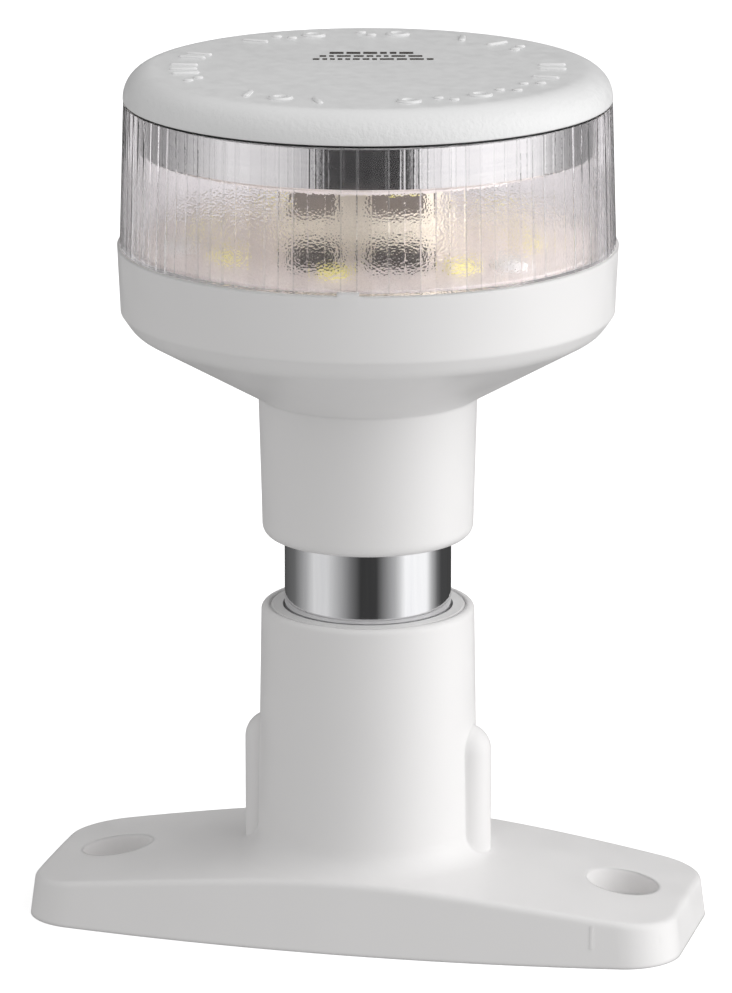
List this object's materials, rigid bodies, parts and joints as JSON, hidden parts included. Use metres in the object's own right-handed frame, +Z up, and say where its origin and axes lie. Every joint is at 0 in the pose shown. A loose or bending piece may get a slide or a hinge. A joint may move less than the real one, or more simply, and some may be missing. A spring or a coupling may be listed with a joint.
{
  "type": "navigation light",
  "caption": "Round all-round light with a clear fluted lens on a short round pole, held in a white bolt-down pedestal with a long base plate.",
  "frame": {"origin": "centre of the pedestal's underside, on the pole axis", "axes": "+Z up the pole axis, X along the long axis of the base plate, -Y the front"},
  "size_m": [0.102, 0.0754, 0.1328],
  "materials": {
    "white_plastic": "satin moulded UV-stable plastic",
    "white_bush": "satin moulded acetal",
    "polished_tube": "polished stainless tube",
    "polished_drum": "bright polished",
    "stainless_screws": "machined stainless",
    "black_rubber": "matt",
    "grey_seal": "translucent grey silicone",
    "clear_lens": "clear fluted polycarbonate with a pebbled inside",
    "cap_plastic": "fine orange-peel texture",
    "circuit_board": "white solder mask",
    "driver_board_green": "green solder mask",
    "led_yellow": "yellow phosphor in a white package",
    "component_black": "matt moulded",
    "component_tan": "matt moulded",
    "reflector_white": "smooth white",
    "terminal_green": "moulded",
    "brass_pins": "bright plated"
  },
  "bodies": {
    "pedestal": {"pedestal": "white_plastic", "socket_bush": "white_bush", "clamp_plate": "white_bush", "clamp_screws": "stainless_screws", "cable_grommet": "black_rubber", "pole_grub_screw": "stainless_screws"},
    "pole": {"pole_tube": "polished_tube"},
    "head": {"head_housing": "white_plastic", "neck_grub_screw": "stainless_screws", "neck_o_ring": "black_rubber", "rim_seal": "grey_seal", "driver_board": "driver_board_green", "driver_screws": "stainless_screws", "choke_coil": "component_black", "smoothing_capacitor": "component_black", "driver_chip": "component_black", "terminal_block": "terminal_green", "terminal_screws": "brass_pins", "board_pins": "brass_pins", "lamp_board": "circuit_board", "lamp_board_screws": "white_bush", "lower_leds": "led_yellow", "lamp_board_parts": "component_black", "reflector_column": "reflector_white", "lamp_pins": "brass_pins", "upper_board": "circuit_board", "upper_leds": "led_yellow", "upper_board_parts": "component_tan", "heat_sink_drum": "polished_drum", "drum_screw": "stainless_screws"},
    "cover": {"lens": "clear_lens", "lens_top_seal": "black_rubber", "top_cap": "cap_plastic"}
  },
  "joints": [
    {"name": "pole_pull", "type": "slide", "parent": "pedestal", "child": "pole", "axis": [0, 0, 1], "range_m": [0, 0.034]},
    {"name": "head_turn", "type": "hinge", "parent": "pole", "child": "head", "pos_m": [0, 0, 0.0722], "axis": [0, 0, 1], "range_deg": [-180, 180]},
    {"name": "cover_lift", "type": "slide", "parent": "head", "child": "cover", "axis": [0, 0, 1], "range_m": [0, 0.026]}
  ]
}
